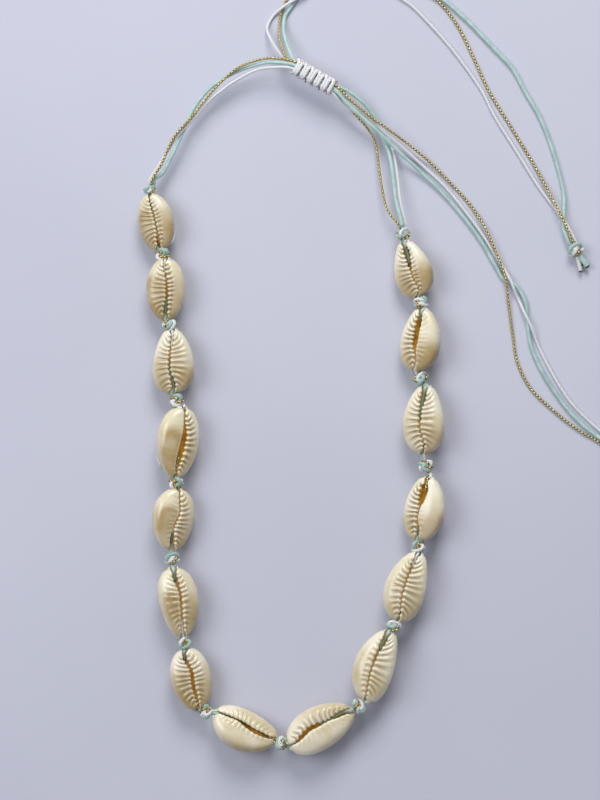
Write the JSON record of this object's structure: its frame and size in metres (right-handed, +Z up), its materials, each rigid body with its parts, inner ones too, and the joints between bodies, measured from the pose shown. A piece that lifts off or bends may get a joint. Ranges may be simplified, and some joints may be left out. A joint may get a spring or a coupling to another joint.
{
  "type": "cowrie shell necklace with a sliding macrame knot",
  "caption": "A necklace of small cream cowrie shells strung on knotted mint, white and gold cords, with a white macrame slider and loose knotted cord ends.",
  "frame": {"origin": "On the table, below the middle of the shell loop and its slider; the tie cords beyond the slider are left out of that box", "axes": "+Y from the lowest shells to the slider, +X to the right seen from above, +Z up from the table"},
  "size_m": [0.1533, 0.2404, 0.0104],
  "materials": {
    "shell": "polished cream shell with a tan base",
    "mint_cord": "satin cord",
    "white_cord": "fine braided cord",
    "gold_cord": "braided metallic thread",
    "knot_cords": "mint, white and gold cords knotted together"
  },
  "bodies": {
    "root": {"shell_01": "shell", "shell_02": "shell", "shell_03": "shell", "shell_04": "shell", "shell_05": "shell", "shell_06": "shell", "shell_07": "shell", "shell_08": "shell", "shell_09": "shell", "shell_10": "shell", "shell_11": "shell", "shell_12": "shell", "shell_13": "shell", "shell_14": "shell", "shell_15": "shell", "knot_01": "knot_cords", "knot_02": "knot_cords", "knot_03": "knot_cords", "knot_04": "knot_cords", "knot_05": "knot_cords", "knot_06": "knot_cords", "knot_07": "knot_cords", "knot_08": "knot_cords", "knot_09": "knot_cords", "knot_10": "knot_cords", "knot_11": "knot_cords", "knot_12": "knot_cords", "knot_13": "knot_cords", "knot_14": "knot_cords", "knot_15": "knot_cords", "knot_16": "knot_cords", "thread_mint": "mint_cord", "thread_white": "white_cord", "thread_gold": "gold_cord", "slider": "white_cord", "cord_left_mint": "mint_cord", "cord_left_white": "white_cord", "cord_left_gold": "gold_cord", "cord_right_mint": "mint_cord", "cord_right_white": "white_cord", "cord_right_gold": "gold_cord", "end_knot_upper": "knot_cords", "end_knot_lower": "knot_cords"}
  },
  "joints": []
}
